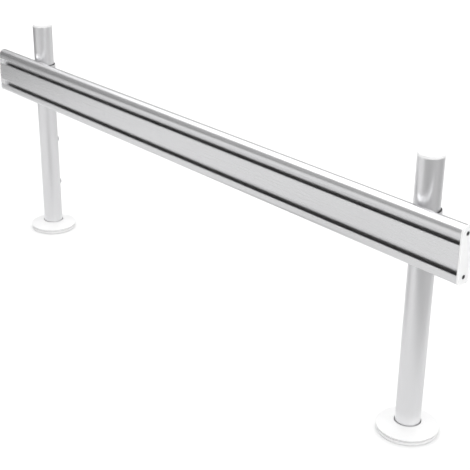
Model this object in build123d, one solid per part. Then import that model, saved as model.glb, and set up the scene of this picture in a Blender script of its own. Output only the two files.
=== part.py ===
"""Desk-mounted accessory rail: a twin-slot aluminium rail clamped to two round posts.

Millimetres. +X runs along the rail, -Y is the rail's front, +Z is up and Z = 0 is the desk top.
The origin is the centre of the whole object's footprint.
"""

import os
from math import cos, radians, sin

from build123d import *

# ---- driving dimensions: overall ----
RAIL_LENGTH = 1200.0  # over both end caps
POST_SPACING = 1000.0  # between the posts' axes
POST_HEIGHT = 440.0  # desk top to the top of the post cap
RAIL_MIDDLE_HEIGHT = 332.5  # desk top to the middle of the plate between the front slots
RAIL_STAND_OFF = 7.6  # the tube to the rail's back, where the clamp goes

# ---- driving dimensions: post and foot ----
TUBE_RADIUS = 19.0
TUBE_WALL = 2.0
POST_CAP_HEIGHT = 4.0
POST_CAP_SPIGOT = 14.0
POST_CAP_WALL = 2.0
POST_CAP_BEVEL = 0.8
PAD_THICKNESS = 1.0
PAD_INSET = 0.8
BASE_PLATE_INSET = 1.0  # behind the cover's rim
BASE_PLATE_THICKNESS = 4.0
BASE_PLATE_EDGE = 0.4
COVER_RADIUS = 47.0
COVER_RIM = 4.6
COVER_RISE = 7.5
COVER_LIP = 1.4  # thickness of the edge that overhangs the skirt
COVER_LIP_REACH = 2.2  # how far that edge overhangs
COVER_WALL = 2.0
COVER_HUB_WALL = 2.4
COVER_EDGE_RADIUS = 0.6
DESK_HOLE_CIRCLE = 34.5  # radius of the circle of desk screw holes
DESK_HOLE_RADIUS = 2.6
DESK_HOLE_COUNT = 4
DESK_SINK_RADIUS = 4.2
POST_BOLT_RADIUS = 4.0
POST_BOLT_HEAD_RADIUS = 7.0
POST_BOLT_HEAD = 2.6
POST_BOLT_LENGTH = 24.0
POST_BOLT_SOCKET = 5.0
POST_BOLT_SOCKET_DEPTH = 2.4
POST_PLUG_HEIGHT = 28.0

# ---- driving dimensions: cable plugs ----
CABLE_PLUG_HEIGHTS = {"lower": 100.0, "upper": 195.0}
CABLE_HOLE_RADIUS = 5.0
CABLE_PLUG_RADIUS = 6.2
CABLE_PLUG_HEAD = 3.0
CABLE_PLUG_STEM = 7.0
CABLE_PLUG_EDGE = 1.8

# ---- driving dimensions: rail section (depth from the front face, height from the plate's middle) ----
RAIL_ABOVE = 43.5  # from the middle of the plate to the top of the nose
RAIL_BELOW = 40.5  # from the middle of the plate to the bottom
RAIL_DEPTH = 22.0
RAIL_TOE_RADIUS = 6.0
PLATE_HEIGHT = 33.0
SLOT_HEIGHT = 10.5
SLOT_DEPTH = 8.0
FRONT_WALL = 2.5
RAIL_WALL = 2.2
WEB_WALL = 2.4
HOOK_POCKET = 6.0
SCREW_PORT_RADIUS = 1.7
SCREW_PORT_WALL = 1.5
LOWER_PORT_RISE = 10.7  # the lower screw port's height over the rail's bottom
REAR_SLOT_MOUTH = 8.4
REAR_SLOT_WIDTH = 15.0
REAR_SLOT_DEPTH = 7.5
REAR_SLOT_LIP = 2.5
SLOT_EDGE_RADIUS = 0.3

# ---- driving dimensions: end caps ----
END_CAP_THICKNESS = 3.0
END_CAP_OVERHANG = 0.4
END_CAP_EDGE = 0.8
CAP_SCREW_HEAD_RADIUS = 3.1
CAP_SCREW_HEAD = 1.4
CAP_SCREW_LENGTH = 16.0
CAP_SCREW_SUNK = 0.4
CAP_SCREW_SOCKET = 2.2
CAP_SCREW_SOCKET_DEPTH = 0.9

# ---- driving dimensions: post clamps ----
COLLAR_WALL = 1.6
COLLAR_HEIGHT = 51.0
LINER_THICKNESS = 1.2
CLAMP_GAP = 1.4  # between the clamp's two halves
BACK_PLATE_MARGIN = 8.0  # from a slot bolt's axis to the plate's edge
BACK_PLATE_THICKNESS = 5.2
EAR_LENGTH = 10.5  # from the collar to the tip of an ear
EAR_THICKNESS = 5.0
EAR_HEIGHT = 26.0
EAR_EDGE_RADIUS = 3.0
CLAMP_SCREW_RADIUS = 2.5
CLAMP_SCREW_HEAD_RADIUS = 4.2
CLAMP_SCREW_HEAD = 5.0
CLAMP_SCREW_SOCKET = 4.0
CLAMP_SCREW_SOCKET_DEPTH = 2.7
CLAMP_SCREW_EDGE = 0.4
CLAMP_SCREW_TIP = 1.0  # how far the screw stands out of the front ear
CLAMP_SCREW_MARGIN = 5.75  # from the collar to the screw's axis, sideways
SLOT_BOLT_RADIUS = 3.0
SLOT_BOLT_MARGIN = 2.0  # from the collar to a slot bolt's axis, sideways
SLOT_BOLT_HEAD = 4.0
SLOT_BOLT_HEAD_WIDTH = 10.0
SLOT_BOLT_TIP = 0.5  # how far the bolt stands out of its nut
SLOT_NUT_SIZE = 10.0
SLOT_NUT_HEIGHT = 5.0
WASHER_RADIUS = 6.0
WASHER_THICKNESS = 1.0

# ---- fits and clearances ----
RUNNING_FIT = 0.05  # radial, where a turning or sliding piece is guided
SNUG_FIT = 0.05  # radial, where two fixed pieces plug together
COVER_BORE_GAP = 1.3
HOLE_CLEARANCE = 0.3
BOLT_HEAD_CLEARANCE = 0.5

# ---- modelling aids ----
OVERCUT = 1.0  # how far a cutting shape runs past the surface that it cuts
TOLERANCE = 0.01  # for finding an edge by its place

# ---- places worked out from the driving dimensions ----
SIDES = {"left": -1.0, "right": 1.0}
RAIL_FRONT_OFFSET = TUBE_RADIUS + RAIL_STAND_OFF + RAIL_DEPTH  # from the posts' axis
FRONT_REACH = RAIL_FRONT_OFFSET + END_CAP_OVERHANG
POST_Y = (FRONT_REACH - COVER_RADIUS) / 2  # centres the footprint on the origin
RAIL_FRONT_Y = POST_Y - RAIL_FRONT_OFFSET
PROFILE_LENGTH = RAIL_LENGTH - 2 * END_CAP_THICKNESS
BASE_TOP = PAD_THICKNESS + BASE_PLATE_THICKNESS
BASE_PLATE_RADIUS = COVER_RADIUS - BASE_PLATE_INSET
TUBE_TOP = POST_HEIGHT - POST_CAP_HEIGHT
TUBE_BORE = TUBE_RADIUS - TUBE_WALL
COVER_TOP = BASE_TOP + COVER_RIM + COVER_RISE
COVER_BORE = TUBE_RADIUS + COVER_BORE_GAP
NOSE_RADIUS = RAIL_DEPTH / 2
PLATE_EDGE = PLATE_HEIGHT / 2
SLOT_EDGE = PLATE_EDGE + SLOT_HEIGHT
MID_DEPTH = RAIL_DEPTH / 2
WEB_BACK = SLOT_DEPTH + WEB_WALL
UPPER_PORT = RAIL_ABOVE - NOSE_RADIUS
LOWER_PORT = LOWER_PORT_RISE - RAIL_BELOW
LINER_BORE = TUBE_RADIUS + RUNNING_FIT
LINER_OUTER = LINER_BORE + LINER_THICKNESS
COLLAR_BORE = LINER_OUTER
COLLAR_RADIUS = COLLAR_BORE + COLLAR_WALL
EAR_REACH = COLLAR_RADIUS + EAR_LENGTH
SLOT_BOLT_OFFSET = COLLAR_RADIUS + SLOT_BOLT_MARGIN
HALF_BACK_PLATE = SLOT_BOLT_OFFSET + BACK_PLATE_MARGIN
CLAMP_SCREW_OFFSET = COLLAR_RADIUS + CLAMP_SCREW_MARGIN
SLOT_BOLT_HEAD_HEIGHT = REAR_SLOT_WIDTH - 2 * BOLT_HEAD_CLEARANCE


def disc(radius, low, high, x=0.0, y=0.0):
    """A vertical cylinder from one height to another."""
    return Pos(x, y, low) * Cylinder(radius, high - low, align=(Align.CENTER, Align.CENTER, Align.MIN))


def rod(radius, y_from, y_to, x=0.0, z=0.0):
    """A cylinder along Y."""
    middle = (y_from + y_to) / 2
    return Pos(x, middle, z) * Rot(90, 0, 0) * Cylinder(radius, abs(y_to - y_from))


def block(x, y, z):
    """A box given by its three (low, high) pairs."""
    sizes = [high - low for low, high in (x, y, z)]
    return Pos(x[0], y[0], z[0]) * Box(*sizes, align=(Align.MIN, Align.MIN, Align.MIN))


def turned(points):
    """A solid of revolution about Z from a closed outline of (radius, height) points."""
    outline = make_face(Polyline([(r, 0, z) for r, z in points], close=True))
    return revolve(outline, Axis.Z)


def hexagon(size, height):
    """A hexagonal prism standing on the XY plane, measured across its flats."""
    return extrude(RegularPolygon(size / 2, 6, major_radius=False), height)


def rim_edges(part, z, radius):
    """The circular edges of a part at one height and radius."""
    rings = part.edges().filter_by(GeomType.CIRCLE)
    return [e for e in rings if abs(e.center().Z - z) < TOLERANCE and abs(e.radius - radius) < TOLERANCE]


# ---- posts ----


def post_tube(side_x):
    """The round tube, with two cable holes in its back."""
    body = disc(TUBE_RADIUS, BASE_TOP, TUBE_TOP) - disc(TUBE_BORE, BASE_TOP, TUBE_TOP)
    for height in CABLE_PLUG_HEIGHTS.values():
        body -= rod(CABLE_HOLE_RADIUS, 0, 2 * TUBE_RADIUS, z=height)
    return Pos(side_x, POST_Y, 0) * body


def post_cap(side_x):
    """The flat lid on the tube, with a hollow spigot inside it."""
    spigot = TUBE_BORE - SNUG_FIT
    body = disc(TUBE_RADIUS, TUBE_TOP, POST_HEIGHT)
    body = chamfer(rim_edges(body, POST_HEIGHT, TUBE_RADIUS), POST_CAP_BEVEL)
    body += disc(spigot, TUBE_TOP - POST_CAP_SPIGOT, TUBE_TOP)
    body -= disc(spigot - POST_CAP_WALL, TUBE_TOP - POST_CAP_SPIGOT, TUBE_TOP)
    return Pos(side_x, POST_Y, 0) * body


def post_plug(side_x):
    """The threaded plug fixed in the foot of the tube, which the post bolt pulls down."""
    body = disc(TUBE_BORE - SNUG_FIT, BASE_TOP, BASE_TOP + POST_PLUG_HEIGHT)
    body -= disc(POST_BOLT_RADIUS + SNUG_FIT, BASE_TOP, BASE_TOP + POST_PLUG_HEIGHT)
    return Pos(side_x, POST_Y, 0) * body


def sunk_head(radius, shank, depth, bottom):
    """A countersunk head that opens downwards from its wide bottom face."""
    return turned([(0, bottom), (radius, bottom), (shank, bottom + depth), (0, bottom + depth)])


def post_bolt(side_x):
    """The countersunk bolt that comes up through the base plate into the plug."""
    body = sunk_head(POST_BOLT_HEAD_RADIUS, POST_BOLT_RADIUS, POST_BOLT_HEAD, PAD_THICKNESS)
    body += disc(POST_BOLT_RADIUS, PAD_THICKNESS + POST_BOLT_HEAD, PAD_THICKNESS + POST_BOLT_LENGTH)
    body -= Pos(0, 0, PAD_THICKNESS) * hexagon(POST_BOLT_SOCKET, POST_BOLT_SOCKET_DEPTH)
    return Pos(side_x, POST_Y, 0) * body


def desk_hole_places():
    """The (x, y) places of the desk screw holes about a post's axis."""
    step = 360 / DESK_HOLE_COUNT
    angles = [radians(step * (i + 0.5)) for i in range(DESK_HOLE_COUNT)]
    return [(DESK_HOLE_CIRCLE * cos(a), DESK_HOLE_CIRCLE * sin(a)) for a in angles]


def base_plate(side_x):
    """The steel disc that is screwed to the desk."""
    body = disc(BASE_PLATE_RADIUS, PAD_THICKNESS, BASE_TOP)
    body = chamfer(rim_edges(body, BASE_TOP, BASE_PLATE_RADIUS), BASE_PLATE_EDGE)
    head = POST_BOLT_HEAD_RADIUS + HOLE_CLEARANCE
    shank = POST_BOLT_RADIUS + HOLE_CLEARANCE
    body -= sunk_head(head, shank, POST_BOLT_HEAD, PAD_THICKNESS)
    body -= disc(shank, PAD_THICKNESS, BASE_TOP)
    sink = DESK_SINK_RADIUS - DESK_HOLE_RADIUS
    for x, y in desk_hole_places():
        body -= disc(DESK_HOLE_RADIUS, PAD_THICKNESS, BASE_TOP, x, y)
        cone = Cone(DESK_HOLE_RADIUS, DESK_SINK_RADIUS, sink, align=(Align.CENTER, Align.CENTER, Align.MAX))
        body -= Pos(x, y, BASE_TOP) * cone
    return Pos(side_x, POST_Y, 0) * body


def base_pad(side_x):
    """The thin pad between the base plate and the desk."""
    body = disc(BASE_PLATE_RADIUS - PAD_INSET, 0, PAD_THICKNESS)
    body -= disc(POST_BOLT_HEAD_RADIUS + HOLE_CLEARANCE, 0, PAD_THICKNESS)
    for x, y in desk_hole_places():
        body -= disc(DESK_HOLE_RADIUS + HOLE_CLEARANCE, 0, PAD_THICKNESS, x, y)
    return Pos(side_x, POST_Y, 0) * body


def base_cover(side_x):
    """The dished cover that hides the desk screws and lifts up the tube."""
    rim_top = BASE_TOP + COVER_RIM
    hub = COVER_BORE + COVER_HUB_WALL
    skirt = COVER_RADIUS - COVER_LIP_REACH
    inner = skirt - COVER_WALL
    lip = rim_top - COVER_LIP
    slope = COVER_RISE / (COVER_RADIUS - COVER_BORE)
    outline = [
        (COVER_BORE, BASE_TOP),
        (hub, BASE_TOP),
        (hub, COVER_TOP - COVER_WALL - slope * COVER_HUB_WALL),
        (inner, rim_top - COVER_WALL + slope * (COVER_RADIUS - inner)),
        (inner, BASE_TOP),
        (skirt, BASE_TOP),
        (skirt, lip),
        (COVER_RADIUS, lip),
        (COVER_RADIUS, rim_top),
        (COVER_BORE, COVER_TOP),
    ]
    body = turned(outline)
    body = fillet(rim_edges(body, rim_top, COVER_RADIUS), COVER_EDGE_RADIUS)
    return Pos(side_x, POST_Y, 0) * body


def cable_plug(side_x, height):
    """A snap-in plug that closes one of the tube's cable holes."""
    seat = TUBE_RADIUS
    body = rod(CABLE_PLUG_RADIUS, seat - CABLE_PLUG_STEM, seat + CABLE_PLUG_HEAD, z=0)
    front = [e for e in body.edges().filter_by(GeomType.CIRCLE) if e.center().Y > seat]
    body = fillet(front, CABLE_PLUG_EDGE)
    body -= disc(TUBE_RADIUS, -CABLE_PLUG_RADIUS, CABLE_PLUG_RADIUS)
    body += rod(CABLE_HOLE_RADIUS - SNUG_FIT, seat - CABLE_PLUG_STEM, seat + CABLE_PLUG_HEAD / 2)
    return Pos(side_x, POST_Y, height) * body


# ---- rail ----


def patch(depth, height):
    """A rectangle in the section plane from (low, high) depths and heights."""
    place = Pos((depth[0] + depth[1]) / 2, (height[0] + height[1]) / 2)
    return place * Rectangle(depth[1] - depth[0], height[1] - height[0])


def rail_outline(margin=0.0):
    """The rail's outer outline: a full round nose on top and rounded toes below."""
    toe = RAIL_TOE_RADIUS + margin
    low = -RAIL_BELOW - margin
    nose = Pos(MID_DEPTH, UPPER_PORT) * Circle(NOSE_RADIUS + margin)
    body = patch((-margin, RAIL_DEPTH + margin), (low + toe, UPPER_PORT))
    foot = patch((toe - margin, RAIL_DEPTH + margin - toe), (low, low + toe))
    toes = [Pos(d, low + toe) * Circle(toe) for d in (toe - margin, RAIL_DEPTH + margin - toe)]
    return nose + body + foot + toes[0] + toes[1]


def rail_section():
    """The extruded section, with two front slots, a rear slot and the closed chambers."""
    back = RAIL_DEPTH - RAIL_WALL
    rib_top = SLOT_EDGE + RAIL_WALL
    pocket_ribs = {PLATE_EDGE: PLATE_EDGE - HOOK_POCKET, -SLOT_EDGE: -SLOT_EDGE - HOOK_POCKET}
    cavity_floor = RAIL_DEPTH - REAR_SLOT_LIP - REAR_SLOT_DEPTH
    cavity_wall = REAR_SLOT_WIDTH / 2 + RAIL_WALL
    section = rail_outline()
    # the two front slots and the hook pocket behind each slot's lower lip
    for low in (PLATE_EDGE, -SLOT_EDGE):
        section -= patch((-OVERCUT, SLOT_DEPTH), (low, low + SLOT_HEIGHT))
    for lip, floor in pocket_ribs.items():
        section -= patch((FRONT_WALL, SLOT_DEPTH), (floor, lip + OVERCUT))
    # chambers behind the plate, in the nose and in the toe
    chamber = (RAIL_WALL - PLATE_EDGE, pocket_ribs[PLATE_EDGE] - RAIL_WALL)
    section -= patch((FRONT_WALL, SLOT_DEPTH), chamber)
    nose = Pos(MID_DEPTH, UPPER_PORT) * Circle(NOSE_RADIUS - RAIL_WALL)
    section -= nose & patch((0, RAIL_DEPTH), (rib_top, RAIL_ABOVE))
    section -= patch((WEB_BACK, back), (cavity_wall, SLOT_EDGE))
    section -= patch((WEB_BACK, back), (-SLOT_EDGE, -cavity_wall))
    toe_top = pocket_ribs[-SLOT_EDGE] - RAIL_WALL
    toe_depth = (RAIL_TOE_RADIUS, RAIL_DEPTH - RAIL_TOE_RADIUS)
    section -= patch(toe_depth, (RAIL_WALL - RAIL_BELOW, toe_top))
    section -= patch((WEB_BACK, back), (toe_top, -SLOT_EDGE - RAIL_WALL))
    # the rear slot
    cavity = (-REAR_SLOT_WIDTH / 2, REAR_SLOT_WIDTH / 2)
    mouth = (-REAR_SLOT_MOUTH / 2, REAR_SLOT_MOUTH / 2)
    section -= patch((cavity_floor, RAIL_DEPTH - REAR_SLOT_LIP), cavity)
    section -= patch((cavity_floor, RAIL_DEPTH + OVERCUT), mouth)
    # the two screw ports, the upper one standing on a rib
    section += patch((MID_DEPTH - WEB_WALL / 2, MID_DEPTH + WEB_WALL / 2), (SLOT_EDGE, UPPER_PORT))
    for height in (UPPER_PORT, LOWER_PORT):
        section += Pos(MID_DEPTH, height) * Circle(SCREW_PORT_RADIUS + SCREW_PORT_WALL)
        section -= Pos(MID_DEPTH, height) * Circle(SCREW_PORT_RADIUS)
    return section


def along_rail(section, x_from, x_to):
    """Extrudes a section of (depth, height) along the rail, in its place behind the front face."""
    plane = Plane(origin=(x_from, RAIL_FRONT_Y, RAIL_MIDDLE_HEIGHT), x_dir=(0, 1, 0), z_dir=(1, 0, 0))
    return extrude(plane * section, x_to - x_from)


def rail_profile():
    """The extruded rail, with softened edges along the mouths of its front slots."""
    body = along_rail(rail_section(), -PROFILE_LENGTH / 2, PROFILE_LENGTH / 2)
    heights = [RAIL_MIDDLE_HEIGHT + h for h in (PLATE_EDGE, SLOT_EDGE, -PLATE_EDGE, -SLOT_EDGE)]
    edges = body.edges().filter_by(Axis.X)
    front = [e for e in edges if abs(e.center().Y - RAIL_FRONT_Y) < TOLERANCE]
    lips = [e for e in front if min(abs(e.center().Z - h) for h in heights) < TOLERANCE]
    return fillet(lips, SLOT_EDGE_RADIUS)


def cap_screw_places():
    """The (y, z) places of an end cap's two screws."""
    y = RAIL_FRONT_Y + MID_DEPTH
    return [(y, RAIL_MIDDLE_HEIGHT + height) for height in (LOWER_PORT, UPPER_PORT)]


def bar(radius, x_from, x_to, y, z):
    """A cylinder along X from one place to another."""
    return Pos((x_from + x_to) / 2, y, z) * Rot(0, 90, 0) * Cylinder(radius, abs(x_to - x_from))


def end_cap(side):
    """The plate that closes one end of the rail, with two counterbored screw holes."""
    inner = PROFILE_LENGTH / 2
    outer = RAIL_LENGTH / 2
    seat = outer - CAP_SCREW_SUNK - CAP_SCREW_HEAD
    body = along_rail(rail_outline(END_CAP_OVERHANG), inner, outer)
    outer_face = body.faces().sort_by(Axis.X)[-1]
    body = fillet(outer_face.edges(), END_CAP_EDGE)
    for y, z in cap_screw_places():
        body -= bar(SCREW_PORT_RADIUS + HOLE_CLEARANCE, inner, outer, y, z)
        body -= bar(CAP_SCREW_HEAD_RADIUS + HOLE_CLEARANCE, seat, outer, y, z)
    return body if side > 0 else mirror(body, Plane.YZ)


def end_cap_screws(side):
    """The two screws that hold an end cap, as separate solids."""
    outer = RAIL_LENGTH / 2 - CAP_SCREW_SUNK
    seat = outer - CAP_SCREW_HEAD
    screws = []
    for y, z in cap_screw_places():
        screw = bar(SCREW_PORT_RADIUS - SNUG_FIT, seat - CAP_SCREW_LENGTH, seat, y, z)
        screw += bar(CAP_SCREW_HEAD_RADIUS, seat, outer, y, z)
        socket = hexagon(CAP_SCREW_SOCKET, CAP_SCREW_SOCKET_DEPTH)
        screw -= Pos(outer, y, z) * Rot(0, -90, 0) * socket
        screws.append(screw if side > 0 else mirror(screw, Plane.YZ))
    return screws


# ---- post clamps, drawn about a post's axis with Z = 0 at the rail's middle ----


def ring(inner, outer, height):
    """An upright ring centred on the rail's middle height."""
    return disc(outer, -height / 2, height / 2) - disc(inner, -height / 2, height / 2)


def half(front):
    """The space in front of or behind the gap between the clamp's halves."""
    reach = 2 * RAIL_FRONT_OFFSET
    y = (-reach, -CLAMP_GAP / 2) if front else (CLAMP_GAP / 2, reach)
    return block((-reach, reach), y, (-COLLAR_HEIGHT, COLLAR_HEIGHT))


def ear(side, front):
    """One clamp ear, with its outer edges rounded."""
    x = (COLLAR_BORE, EAR_REACH)
    near = CLAMP_GAP / 2
    far = near + EAR_THICKNESS
    body = block(x, (-far, -near) if front else (near, far), (-EAR_HEIGHT / 2, EAR_HEIGHT / 2))
    corners = [e for e in body.edges().filter_by(Axis.Y) if e.center().X > EAR_REACH - TOLERANCE]
    body = fillet(corners, EAR_EDGE_RADIUS)
    return body if side > 0 else mirror(body, Plane.YZ)


def place_clamp(part, side_x):
    """Moves a clamp piece to its post."""
    return Pos(side_x, POST_Y, RAIL_MIDDLE_HEIGHT) * part


def clamp_front(side_x):
    """The clamp's front half: the plate on the rail's back, half the collar and two ears."""
    plate_front = RAIL_DEPTH - RAIL_FRONT_OFFSET
    plate_back = plate_front + BACK_PLATE_THICKNESS
    half_height = COLLAR_HEIGHT / 2
    body = ring(COLLAR_BORE, COLLAR_RADIUS, COLLAR_HEIGHT) & half(front=True)
    width = (-HALF_BACK_PLATE, HALF_BACK_PLATE)
    plate = block(width, (plate_front, plate_back), (-half_height, half_height))
    corners = plate.edges().filter_by(Axis.Y)
    body += fillet(corners, EAR_EDGE_RADIUS)
    neck = block((-COLLAR_BORE / 2, COLLAR_BORE / 2), (plate_front, 0), (-half_height, half_height))
    body += neck - disc(COLLAR_BORE, -COLLAR_HEIGHT, COLLAR_HEIGHT)
    for side in SIDES.values():
        body += ear(side, front=True) - disc(COLLAR_BORE, -COLLAR_HEIGHT, COLLAR_HEIGHT)
        x = side * CLAMP_SCREW_OFFSET
        body -= rod(CLAMP_SCREW_RADIUS + RUNNING_FIT, -2 * EAR_THICKNESS, 0, x)
        x = side * SLOT_BOLT_OFFSET
        body -= rod(SLOT_BOLT_RADIUS + HOLE_CLEARANCE, plate_front - OVERCUT, plate_back + OVERCUT, x)
    return place_clamp(body, side_x)


def clamp_rear(side_x):
    """The clamp's rear half: half the collar and two ears with clearance holes."""
    body = ring(COLLAR_BORE, COLLAR_RADIUS, COLLAR_HEIGHT) & half(front=False)
    for side in SIDES.values():
        body += ear(side, front=False) - disc(COLLAR_BORE, -COLLAR_HEIGHT, COLLAR_HEIGHT)
        x = side * CLAMP_SCREW_OFFSET
        body -= rod(CLAMP_SCREW_RADIUS + RUNNING_FIT, 0, 2 * EAR_THICKNESS, x)
    return place_clamp(body, side_x)


def clamp_liner(side_x, front):
    """Half of the soft sleeve between the collar and the tube."""
    body = ring(LINER_BORE, LINER_OUTER, COLLAR_HEIGHT) & half(front)
    return place_clamp(body, side_x)


def clamp_screw(side_x, side):
    """A cap screw that pulls the clamp's two halves together."""
    head = CLAMP_GAP / 2 + EAR_THICKNESS
    tip = -head - CLAMP_SCREW_TIP
    body = rod(CLAMP_SCREW_RADIUS, tip, head)
    body += rod(CLAMP_SCREW_HEAD_RADIUS, head, head + CLAMP_SCREW_HEAD)
    top = head + CLAMP_SCREW_HEAD
    rim = [e for e in body.edges().filter_by(GeomType.CIRCLE) if abs(e.center().Y - top) < TOLERANCE]
    body = chamfer(rim, CLAMP_SCREW_EDGE)
    socket = hexagon(CLAMP_SCREW_SOCKET, CLAMP_SCREW_SOCKET_DEPTH)
    body -= Pos(0, top, 0) * Rot(90, 0, 0) * socket
    return place_clamp(Pos(side * CLAMP_SCREW_OFFSET, 0, 0) * body, side_x)


def slot_bolts(side_x):
    """The two hammer-head bolts that ride in the rail's rear slot, as separate solids."""
    plate_front = RAIL_DEPTH - RAIL_FRONT_OFFSET
    lip = plate_front - REAR_SLOT_LIP
    end = plate_front + BACK_PLATE_THICKNESS + WASHER_THICKNESS + SLOT_NUT_HEIGHT + SLOT_BOLT_TIP
    half_width = SLOT_BOLT_HEAD_WIDTH / 2
    half_height = SLOT_BOLT_HEAD_HEIGHT / 2
    bolts = []
    for side in SIDES.values():
        x = side * SLOT_BOLT_OFFSET
        depth = (lip - SLOT_BOLT_HEAD, lip)
        bolt = block((x - half_width, x + half_width), depth, (-half_height, half_height))
        bolt += rod(SLOT_BOLT_RADIUS, lip - SLOT_BOLT_HEAD, end, x)
        bolts.append(place_clamp(bolt, side_x))
    return bolts


def slot_nuts(side_x):
    """The nuts, each with its washer below it, on the hammer-head bolts."""
    seat = RAIL_DEPTH - RAIL_FRONT_OFFSET + BACK_PLATE_THICKNESS
    bore = SLOT_BOLT_RADIUS + SNUG_FIT
    pieces = []
    for side in SIDES.values():
        x = side * SLOT_BOLT_OFFSET
        top = seat + WASHER_THICKNESS
        hole = rod(bore, seat - OVERCUT, top + SLOT_NUT_HEIGHT + OVERCUT, x)
        nut = Pos(x, top, 0) * Rot(-90, 0, 0) * hexagon(SLOT_NUT_SIZE, SLOT_NUT_HEIGHT)
        pieces.append(place_clamp(rod(WASHER_RADIUS, seat, top, x) - hole, side_x))
        pieces.append(place_clamp(nut - hole, side_x))
    return pieces


# ---- assembly ----


def build():
    """Every sub-part by its node name. A list holds a group of separate solids."""
    nodes = {"rail_profile": rail_profile()}
    for name, side in SIDES.items():
        x = side * POST_SPACING / 2
        nodes[f"{name}_post_tube"] = post_tube(x)
        nodes[f"{name}_post_cap"] = post_cap(x)
        nodes[f"{name}_post_plug"] = post_plug(x)
        nodes[f"{name}_post_bolt"] = post_bolt(x)
        nodes[f"{name}_base_plate"] = base_plate(x)
        nodes[f"{name}_base_pad"] = base_pad(x)
        nodes[f"{name}_base_cover"] = base_cover(x)
        for level, height in CABLE_PLUG_HEIGHTS.items():
            nodes[f"{name}_{level}_cable_plug"] = cable_plug(x, height)
        nodes[f"{name}_end_cap"] = end_cap(side)
        nodes[f"{name}_end_cap_screws"] = end_cap_screws(side)
        nodes[f"{name}_clamp_front"] = clamp_front(x)
        nodes[f"{name}_clamp_rear"] = clamp_rear(x)
        nodes[f"{name}_clamp_liner_front"] = clamp_liner(x, front=True)
        nodes[f"{name}_clamp_liner_rear"] = clamp_liner(x, front=False)
        for place, screw_side in (("outer", side), ("inner", -side)):
            nodes[f"{name}_{place}_clamp_screw"] = clamp_screw(x, screw_side)
        nodes[f"{name}_slot_bolts"] = slot_bolts(x)
        nodes[f"{name}_slot_nuts"] = slot_nuts(x)
    return nodes


def main():
    os.makedirs("parts", exist_ok=True)
    for name, shape in build().items():
        solids = shape if isinstance(shape, list) else [shape]
        pieces = [s for shape_part in solids for s in shape_part.solids()]
        whole = pieces[0] if len(pieces) == 1 else Compound(children=pieces)
        export_step(whole, f"parts/{name}.step")


main()
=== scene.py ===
"""Desk-mounted accessory rail: materials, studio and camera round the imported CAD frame. Metres."""
from math import cos, pi, radians, sin

import bmesh
import bpy
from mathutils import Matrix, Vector


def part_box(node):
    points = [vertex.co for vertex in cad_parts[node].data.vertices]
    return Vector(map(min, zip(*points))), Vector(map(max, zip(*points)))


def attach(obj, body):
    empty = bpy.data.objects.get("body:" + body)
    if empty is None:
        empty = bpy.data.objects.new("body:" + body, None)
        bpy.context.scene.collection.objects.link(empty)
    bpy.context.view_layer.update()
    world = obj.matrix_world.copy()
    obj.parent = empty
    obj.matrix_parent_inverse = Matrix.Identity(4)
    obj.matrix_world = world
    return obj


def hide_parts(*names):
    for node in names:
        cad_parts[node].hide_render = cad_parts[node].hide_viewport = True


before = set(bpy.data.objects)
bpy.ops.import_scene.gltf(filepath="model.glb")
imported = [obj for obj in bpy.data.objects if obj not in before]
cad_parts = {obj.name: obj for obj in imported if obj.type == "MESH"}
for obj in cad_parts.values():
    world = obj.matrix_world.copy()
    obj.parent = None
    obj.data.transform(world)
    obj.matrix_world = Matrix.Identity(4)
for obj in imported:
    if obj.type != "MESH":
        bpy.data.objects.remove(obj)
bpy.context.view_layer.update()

# ---------------------------------------------------------------- node helpers


class Tree:
    """A short way to add and join shader nodes."""

    def __init__(self, owner):
        owner.use_nodes = True
        self.tree = owner.node_tree

    def add(self, kind, inputs=None, **settings):
        node = self.tree.nodes.new("ShaderNode" + kind)
        for key, value in settings.items():
            setattr(node, key, value)
        for key, value in (inputs or {}).items():
            if isinstance(value, bpy.types.NodeSocket):
                self.tree.links.new(value, node.inputs[key])
            else:
                node.inputs[key].default_value = value
        return node

    def link(self, output, target):
        self.tree.links.new(output, target)

    def math(self, operation, a, b=0.0, c=0.0):
        return self.add("Math", {0: a, 1: b, 2: c}, operation=operation).outputs[0]

    def times(self, a, b):
        return self.math("MULTIPLY", a, b)

    def scale(self, vector, factor):
        return self.add("VectorMath", {0: vector, "Scale": factor}, operation="SCALE").outputs[0]

    def blend(self, factor, a, b):
        """A value that goes from a to b as factor goes from 0 to 1."""
        return self.add("Mix", {"Factor": factor, "A": a, "B": b}, data_type="FLOAT").outputs[0]

    def ramp(self, value, low, high, start=0.0, end=1.0):
        """A smooth change from start to end as value goes from low to high."""
        names = ("Value", "From Min", "From Max", "To Min", "To Max")
        inputs = dict(zip(names, (value, low, high, start, end)))
        return self.add("MapRange", inputs, interpolation_type="SMOOTHSTEP").outputs[0]


# ---------------------------------------------------------------- materials


def grain(scale, detail=2.0, colour=0.0, rough=0.0, bump=0.0):
    """One layer of noise: its scale per metre on each axis, and how far it moves each thing."""
    return {"scale": scale, "detail": detail, "colour": colour, "rough": rough, "bump": bump}


SHADE_REACH = 0.012  # how far the occlusion that finds recesses looks
# painted light: the glow on faces that nearby parts close in
PAINTED_FILL_START, PAINTED_FILL_END = 0.75, 0.15  # the occlusion where the fill glow starts and is full
# the paler edges are partly wear and partly a painted highlight
WORN_AND_LIT_START, WORN_AND_LIT_END = 0.995, 0.80  # the cosine where an edge starts to be worn and is fully worn


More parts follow.
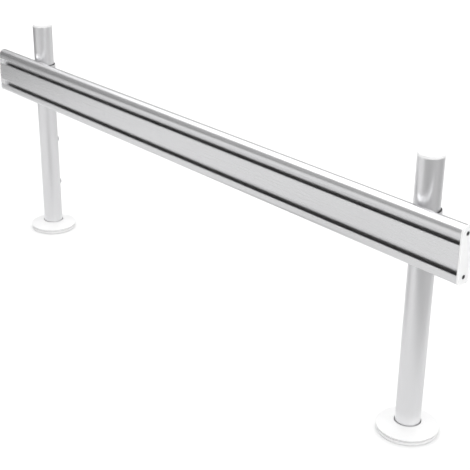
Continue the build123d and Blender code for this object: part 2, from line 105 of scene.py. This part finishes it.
def finish(name, colour, roughness, layers, metallic=0.0, edge=None, edge_radius=0.0005,
           painted_recess_shade=None, painted_fill=None, rounding=0.00035, **sockets):
    """A material whose colour, roughness and relief come from layers of noise.

    edge: the paler colour that edges take within edge_radius of them, partly wear and partly a painted
    highlight.
    recess: the occlusion where the painted shade in recesses starts and ends, and the darkest factor of
    that painted shade.
    fill: the strength of a painted glow, painted light on faces that nearby parts close in.
    rounding: the radius that edges are shaded with.
    """
    mat = bpy.data.materials.new(name)
    tree = Tree(mat)
    shader = tree.tree.nodes["Principled BSDF"]
    place = tree.add("TexCoord").outputs["Object"]
    shade = None
    gloss = None
    normal = tree.add("Bevel", {"Radius": rounding}, samples=6).outputs[0]
    for layer in layers:
        scaled = tree.add("Mapping", {"Vector": place, "Scale": layer["scale"]}).outputs[0]
        inputs = {"Vector": scaled, "Scale": 1.0, "Detail": layer["detail"]}
        noise = tree.add("TexNoise", inputs).outputs[0]
        if layer["colour"]:
            span = layer["colour"]
            part = tree.math("MULTIPLY_ADD", noise, 2 * span, 1 - span)
            shade = part if shade is None else tree.times(shade, part)
        if layer["rough"]:
            span = layer["rough"]
            start = roughness - span if gloss is None else tree.math("ADD", gloss, -span)
            gloss = tree.math("MULTIPLY_ADD", noise, 2 * span, start)
        if layer["bump"]:
            inputs = {"Height": noise, "Normal": normal, "Distance": layer["bump"], "Strength": 1.0}
            normal = tree.add("Bump", inputs).outputs[0]
    tint = tree.scale(colour, shade)
    # paler edges, partly wear and partly a painted highlight
    if edge:
        tint = worn_and_lit_edges(tree, tint, edge, edge_radius)
    # painted shade: the tint is darkened in slots and other recesses that the occlusion finds
    if painted_recess_shade:
        start, end, darkest = painted_recess_shade
        settings = {"samples": 8, "only_local": True}
        open_sky = tree.add("AmbientOcclusion", {"Distance": SHADE_REACH}, **settings).outputs["AO"]
        tint = tree.scale(tint, tree.ramp(open_sky, start, end, darkest, 1.0))
    # painted light: an emitted glow where nearby parts close the surface in
    if painted_fill:
        nearby = tree.add("AmbientOcclusion", {"Distance": SHADE_REACH}, samples=8).outputs["AO"]
        shader.inputs["Emission Color"].default_value = (1.0, 1.0, 1.0, 1.0)
        tree.link(tree.ramp(nearby, PAINTED_FILL_START, PAINTED_FILL_END, 0.0, painted_fill), shader.inputs["Emission Strength"])
    tree.link(tint, shader.inputs["Base Color"])
    tree.link(gloss, shader.inputs["Roughness"])
    tree.link(normal, shader.inputs["Normal"])
    shader.inputs["Metallic"].default_value = metallic
    for socket, value in sockets.items():
        shader.inputs[socket.replace("_", " ")].default_value = value
    return mat


def worn_and_lit_edges(tree, tint, edge, radius):
    """The tint, paler wherever a bevelled normal leaves the true one: partly wear, partly a painted
    highlight on the edges.
    """
    round_normal = tree.add("Bevel", {"Radius": radius}, samples=6).outputs[0]
    flat_normal = tree.add("NewGeometry").outputs["Normal"]
    inputs = {0: round_normal, 1: flat_normal}
    same = tree.add("VectorMath", inputs, operation="DOT_PRODUCT").outputs["Value"]
    worn_and_lit = tree.ramp(same, WORN_AND_LIT_START, WORN_AND_LIT_END)
    mix = tree.add("Mix", data_type="RGBA")
    factor, first, second = mix.inputs[0], mix.inputs[6], mix.inputs[7]
    tree.link(worn_and_lit, factor)
    tree.link(tint, first)
    second.default_value = (*edge, 1.0)
    return mix.outputs[2]


def even(value):
    """The same scale on all three axes."""
    return (value, value, value)


# the grain of moulded plastic
MOULDED = [
    grain(even(3500), 3, colour=0.012, rough=0.05, bump=0.00001),
    grain(even(40), 3, colour=0.012, rough=0.04),
]

MATERIALS = {
    "rail_aluminium": finish(
        "rail_aluminium", (0.83, 0.83, 0.84), 0.27,
        [
            grain((3, 1400, 1400), 3, colour=0.003, rough=0.012, bump=0.0000006),
            grain(even(9000), 2, rough=0.03, bump=0.000002),
            grain(even(7), 2, colour=0.02, rough=0.02),
        ],
        # painted shade darkens its slots and other recesses
        metallic=0.93, edge=(0.96, 0.96, 0.97), painted_recess_shade=(0.10, 0.36, 0.06), rounding=0.0018,
    ),
    "tube_aluminium": finish(
        "tube_aluminium", (0.88, 0.88, 0.89), 0.30,
        [
            grain((1400, 1400, 3), 3, colour=0.008, rough=0.02, bump=0.000002),
            grain(even(9000), 2, rough=0.03, bump=0.000002),
            grain(even(9), 2, colour=0.02, rough=0.02),
        ],
        metallic=0.96, edge=(0.96, 0.96, 0.97),
    ),
    "white_plastic": finish(
        "white_plastic", (0.90, 0.90, 0.90), 0.42, MOULDED,
        edge=(0.95, 0.95, 0.95), edge_radius=0.0006,
    ),
    "end_cap_plastic": finish(
        "end_cap_plastic", (0.88, 0.88, 0.88), 0.42, MOULDED,
        # a painted glow lights its closed-in faces
        edge=(0.95, 0.95, 0.95), edge_radius=0.0006, painted_fill=0.45,
        Subsurface_Weight=0.5, Subsurface_Scale=0.003, Subsurface_Radius=(1.0, 1.0, 1.0),
    ),
    "white_coated_steel": finish(
        "white_coated_steel", (0.88, 0.88, 0.88), 0.38,
        [
            grain(even(900), 3, colour=0.01, rough=0.04, bump=0.00002),
            grain(even(40), 3, colour=0.015),
        ],
        edge=(0.95, 0.95, 0.95),
    ),
    "silver_paint": finish(
        "silver_paint", (0.72, 0.72, 0.73), 0.40,
        [
            grain(even(1200), 3, colour=0.03, rough=0.06, bump=0.00002),
            grain(even(12000), 1, colour=0.06, rough=0.04),
        ],
        metallic=0.6, edge=(0.84, 0.84, 0.85),
    ),
    "black_plastic": finish(
        "black_plastic", (0.028, 0.028, 0.030), 0.55,
        [grain(even(2500), 3, colour=0.10, rough=0.08, bump=0.00002)],
        edge=(0.06, 0.06, 0.06),
    ),
    "grey_plastic": finish(
        "grey_plastic", (0.55, 0.55, 0.56), 0.45,
        [
            grain(even(3000), 3, colour=0.03, rough=0.06, bump=0.00002),
            grain(even(60), 2, colour=0.03),
        ],
        edge=(0.66, 0.66, 0.66),
    ),
    "grey_rubber": finish(
        "grey_rubber", (0.80, 0.80, 0.80), 0.75,
        [grain(even(1800), 4, colour=0.08, rough=0.08, bump=0.00004)],
    ),
    "black_steel": finish(
        "black_steel", (0.10, 0.10, 0.105), 0.35,
        [
            grain(even(3000), 3, colour=0.12, rough=0.08, bump=0.000006),
            grain(even(300), 2, colour=0.10),
        ],
        metallic=0.9, edge=(0.22, 0.22, 0.22), edge_radius=0.0003,
    ),
    "zinc_steel": finish(
        "zinc_steel", (0.68, 0.70, 0.72), 0.28,
        [
            grain(even(1500), 3, colour=0.05, rough=0.08, bump=0.000006),
            grain(even(150), 3, colour=0.06, rough=0.06),
        ],
        metallic=1.0, edge=(0.80, 0.81, 0.82), edge_radius=0.0003,
    ),
}

# the end caps are a slightly translucent plastic of the same slot as the other white pieces, with a
# painted glow on faces that nearby parts close in
for name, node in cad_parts.items():
    for slot in node.material_slots:
        look = "end_cap_plastic" if name.endswith("_end_cap") else slot.material.name.split(".")[0]
        slot.material = MATERIALS[look]

# ---------------------------------------------------------------- pieces in place of plain CAD nodes

TUBE_FIT = 0.00005  # radial gap between a liner and its tube
LIP_HEIGHT = 0.0009
LIP_REACH = 0.0008
LIP_BEVEL = 0.0003
LINER_STEPS = 64

COVER_GAP = 0.0013  # radial gap between a cover and its tube
COVER_RISE = 0.0075  # from the rim to the top
COVER_LIP = 0.0014  # thickness of the rounded edge
COVER_OVERHANG = 0.0030
COVER_WALL = 0.0020
COVER_EASE = 0.0006
COVER_STEPS = 160
COVER_EDGE_STEPS = 10
COVER_EASE_STEPS = 6
SHARP_ANGLE = 38.0  # degrees; edges turning more than this are shaded sharp


def corners(node_name):
    """The lowest and highest corners of a CAD node."""
    low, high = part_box(node_name)
    return Vector(low), Vector(high)


def rings(form, outline, centre, angles):
    """The outline, as (radius, height) points, placed at each angle about a vertical axis."""
    made = []
    for angle in angles:
        x, y = cos(angle), sin(angle)
        made.append([form.verts.new((centre.x + r * x, centre.y + r * y, z)) for r, z in outline])
    return made


def join(form, pairs):
    """Faces between each pair of neighbouring rings."""
    for one, two in pairs:
        for i in range(len(one)):
            j = (i + 1) % len(one)
            form.faces.new((one[i], one[j], two[j], two[i]))


def new_piece(form, name, node_name, body, slot):
    """An object from the form, riding on a body in place of a CAD node."""
    bmesh.ops.recalc_face_normals(form, faces=form.faces)
    mesh = bpy.data.meshes.new(name)
    form.to_mesh(mesh)
    form.free()
    mesh.materials.append(MATERIALS[slot])
    piece = bpy.data.objects.new(name, mesh)
    bpy.context.scene.collection.objects.link(piece)
    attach(piece, body)
    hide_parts(node_name)
    return mesh


def liner(side, half):
    """Half of the clamp's soft sleeve, with a rounded lip over the collar's upper and lower edges."""
    node_name = f"{side}_clamp_liner_{half}"
    low, high = corners(node_name)
    tube_low, tube_high = corners(f"{side}_post_tube")
    centre = (tube_low + tube_high) / 2
    outer = (high.x - low.x) / 2
    inner = (tube_high.x - tube_low.x) / 2 + TUBE_FIT
    lip = outer + LIP_REACH
    crest = high.z + LIP_HEIGHT
    top = [
        (outer, high.z), (lip - LIP_BEVEL, high.z), (lip, high.z + LIP_BEVEL),
        (lip, crest - LIP_BEVEL), (lip - LIP_BEVEL, crest),
        (inner + LIP_BEVEL, crest), (inner, crest - LIP_BEVEL),
    ]
    bottom = [(r, high.z + low.z - z) for r, z in reversed(top)]
    front = half == "front"
    gap = abs((high.y if front else low.y) - centre.y)
    turn = gap / outer
    start = (pi if front else 0.0) + turn
    span = pi - 2 * turn
    form = bmesh.new()
    angles = [start + span * step / LINER_STEPS for step in range(LINER_STEPS + 1)]
    made = rings(form, top + bottom, centre, angles)
    join(form, zip(made, made[1:]))
    form.faces.new(made[0])
    form.faces.new(made[-1][::-1])
    new_piece(form, f"{node_name}_lipped", node_name, "clamps", "black_plastic")


def arc(centre, radius, start, end, steps):
    """Points on an arc in the (radius, height) plane, angles in degrees."""
    turns = [radians(start + (end - start) * i / steps) for i in range(steps + 1)]
    return [(centre[0] + radius * cos(a), centre[1] + radius * sin(a)) for a in turns]


def cover(side):
    """The dished foot cover, with a rounded edge that overhangs a shadow line."""
    node_name = f"{side}_base_cover"
    low, high = corners(node_name)
    tube_low, tube_high = corners(f"{side}_post_tube")
    radius = (high.x - low.x) / 2
    bore = (tube_high.x - tube_low.x) / 2 + COVER_GAP
    rim = high.z - COVER_RISE
    slope = COVER_RISE / (radius - bore)
    edge = COVER_LIP / 2
    skirt = radius - COVER_OVERHANG
    inner = skirt - COVER_WALL
    hub = bore + COVER_WALL
    roof = high.z - COVER_WALL
    outline = [(bore, low.z), (hub, low.z), (hub, roof - slope * COVER_WALL)]
    outline += [(inner, roof - slope * (inner - bore)), (inner, low.z), (skirt, low.z)]
    outline += [(skirt, rim - COVER_LIP + slope * COVER_OVERHANG / 2)]
    outline += arc((radius - edge, rim - edge), edge, -90, 80, COVER_EDGE_STEPS)
    crown = high.z - COVER_EASE * (1 + slope)
    outline += arc((bore + COVER_EASE, crown), COVER_EASE, 75, 180, COVER_EASE_STEPS)
    form = bmesh.new()
    angles = [2 * pi * step / COVER_STEPS for step in range(COVER_STEPS)]
    made = rings(form, outline, (low + high) / 2, angles)
    join(form, zip(made, made[1:] + made[:1]))
    mesh = new_piece(form, f"{node_name}_dished", node_name, f"{side}_cover", "white_plastic")
    mesh.shade_smooth()
    mesh.set_sharp_from_angle(angle=radians(SHARP_ANGLE))


for side_name in ("left", "right"):
    cover(side_name)
    for half_name in ("front", "rear"):
        liner(side_name, half_name)

# ---------------------------------------------------------------- studio

# brightness of each part of the surround; low is near the horizon
FRONT_LOW = 0.39
FRONT_RIGHT_LOW = 0.75
RIGHT_LOW = 2.0
BACK_LOW = 1.15
BACK_HORIZON = 0.25
OVERHEAD = 2.5
OVERHEAD_RIGHT = 1.1
# factors on that brightness
LEFT_DIM = 0.1
FAR_LEFT_DIM = 0.35
ZENITH_DIM = 0.5

FLOOR_RADIUS = 60.0
FLOOR_WHITE = 0.93
# painted shade on the floor, seen in reflections only: centre, reach and factor at the centre of each
# darker patch
PAINTED_SHADE_SPOTS = [((-0.05, -0.24, 0.0), 0.35, 0.66), ((0.90, -0.72, 0.0), 0.42, 0.80)]
PAINTED_SHADE_SPOT_CORE = 0.08

CAMERA_PLACE = (1.3707, -1.1021, 0.9194)
CAMERA_DOWN = 23.6  # degrees below the horizontal
CAMERA_TURN = 51.03  # degrees from looking along +Y
CAMERA_LENS = 82.5  # millimetres
CAMERA_SENSOR = 36.0  # millimetres
CAMERA_SHIFT = (0.0722, -0.0028)


def studio_world():
    """A soft white surround, bright overhead and on the right, darker low in front and behind.

    x, y and z are the parts of the direction looked in, and the camera sees plain white.
    """
    world = bpy.data.worlds.new("studio")
    bpy.context.scene.world = world
    tree = Tree(world)
    background = tree.tree.nodes["Background"]
    direction = tree.add("TexCoord").outputs["Generated"]
    x, y, z = tree.add("SeparateXYZ", {"Vector": direction}).outputs
    # below the overhead light: front, right and back, then the far left
    right_low = tree.ramp(y, -0.45, -0.05, FRONT_RIGHT_LOW, RIGHT_LOW)
    front = tree.ramp(x, -0.3, 0.4, FRONT_LOW, right_low)
    behind = tree.ramp(z, 0.25, 0.50, BACK_HORIZON, BACK_LOW)
    low = tree.blend(tree.ramp(y, -0.2, 0.5), front, behind)
    low = tree.times(low, tree.ramp(x, -1.0, -0.75, LEFT_DIM, 1.0))
    # the overhead light, whose edge is tilted a little towards the left
    tilted = tree.math("MULTIPLY_ADD", x, -0.1, tree.math("ADD", z, -0.06))
    overhead = tree.ramp(x, 0.0, 0.45, OVERHEAD, OVERHEAD_RIGHT)
    glow = tree.blend(tree.ramp(tilted, 0.54, 0.76), low, overhead)
    glow = tree.times(glow, tree.ramp(z, 0.80, 0.95, 1.0, ZENITH_DIM))
    glow = tree.times(glow, tree.ramp(x, -0.90, -0.80, FAR_LEFT_DIM, 1.0))
    seen = tree.add("LightPath").outputs["Is Camera Ray"]
    tree.link(tree.blend(seen, glow, 1.0), background.inputs["Strength"])
    background.inputs["Color"].default_value = (1, 1, 1, 1)


def studio_floor():
    """A plain white floor, far larger than any view of it, with painted light and painted shade on it
    that only reflections see.
    """
    mesh = bpy.data.meshes.new("floor")
    form = bmesh.new()
    bmesh.ops.create_circle(form, cap_ends=True, segments=96, radius=FLOOR_RADIUS)
    form.to_mesh(mesh)
    form.free()
    floor = bpy.data.objects.new("floor", mesh)
    bpy.context.scene.collection.objects.link(floor)
    mat = bpy.data.materials.new("floor_white")
    tree = Tree(mat)
    shader = tree.tree.nodes["Principled BSDF"]
    place = tree.add("TexCoord").outputs["Object"]
    x, y, _ = tree.add("SeparateXYZ", {"Vector": place}).outputs
    # the painted light fades out on the right, along an edge that swings inward at the front
    right = tree.ramp(y, -0.4, 0.3, 0.52, 0.62)
    ahead = tree.math("MAXIMUM", tree.math("MULTIPLY_ADD", y, -0.6, -0.18))
    right_edge = tree.math("ADD", x, ahead)
    painted_pool = tree.ramp(right_edge, 0.60, 0.95, 1.0, right)
    # and the painted light dims towards the left, the far front and the back
    painted_pool = tree.times(painted_pool, tree.ramp(x, -2.0, -1.08, 0.36, 1.0))
    painted_pool = tree.times(painted_pool, tree.ramp(y, -3.2, -2.0, 0.39, 0.67))
    painted_pool = tree.times(painted_pool, tree.ramp(y, 0.30, 0.65, 1.0, 0.85))
    # painted shade: darker patches
    for spot, reach, depth in PAINTED_SHADE_SPOTS:
        away = tree.add("VectorMath", {0: place, 1: spot}, operation="DISTANCE").outputs["Value"]
        painted_pool = tree.times(painted_pool, tree.ramp(away, PAINTED_SHADE_SPOT_CORE, reach, depth, 1.0))
    # only reflections see the painted light and shade; the camera sees plain white
    mirrored = tree.add("LightPath").outputs["Is Glossy Ray"]
    tree.link(tree.blend(mirrored, FLOOR_WHITE, painted_pool), shader.inputs["Base Color"])
    shader.inputs["Roughness"].default_value = 0.9
    shader.inputs["Specular IOR Level"].default_value = 0.1
    mesh.materials.append(mat)


def camera():
    """The photograph's viewpoint."""
    data = bpy.data.cameras.new("camera")
    data.lens = CAMERA_LENS
    data.sensor_width = CAMERA_SENSOR
    data.shift_x, data.shift_y = CAMERA_SHIFT
    data.clip_start = 0.05
    data.clip_end = 200.0
    view = bpy.data.objects.new("camera", data)
    view.location = CAMERA_PLACE
    view.rotation_euler = (radians(90 - CAMERA_DOWN), 0, radians(CAMERA_TURN))
    bpy.context.scene.collection.objects.link(view)
    bpy.context.scene.camera = view


studio_world()
studio_floor()
camera()
bpy.context.scene.view_settings.view_transform = "Standard"
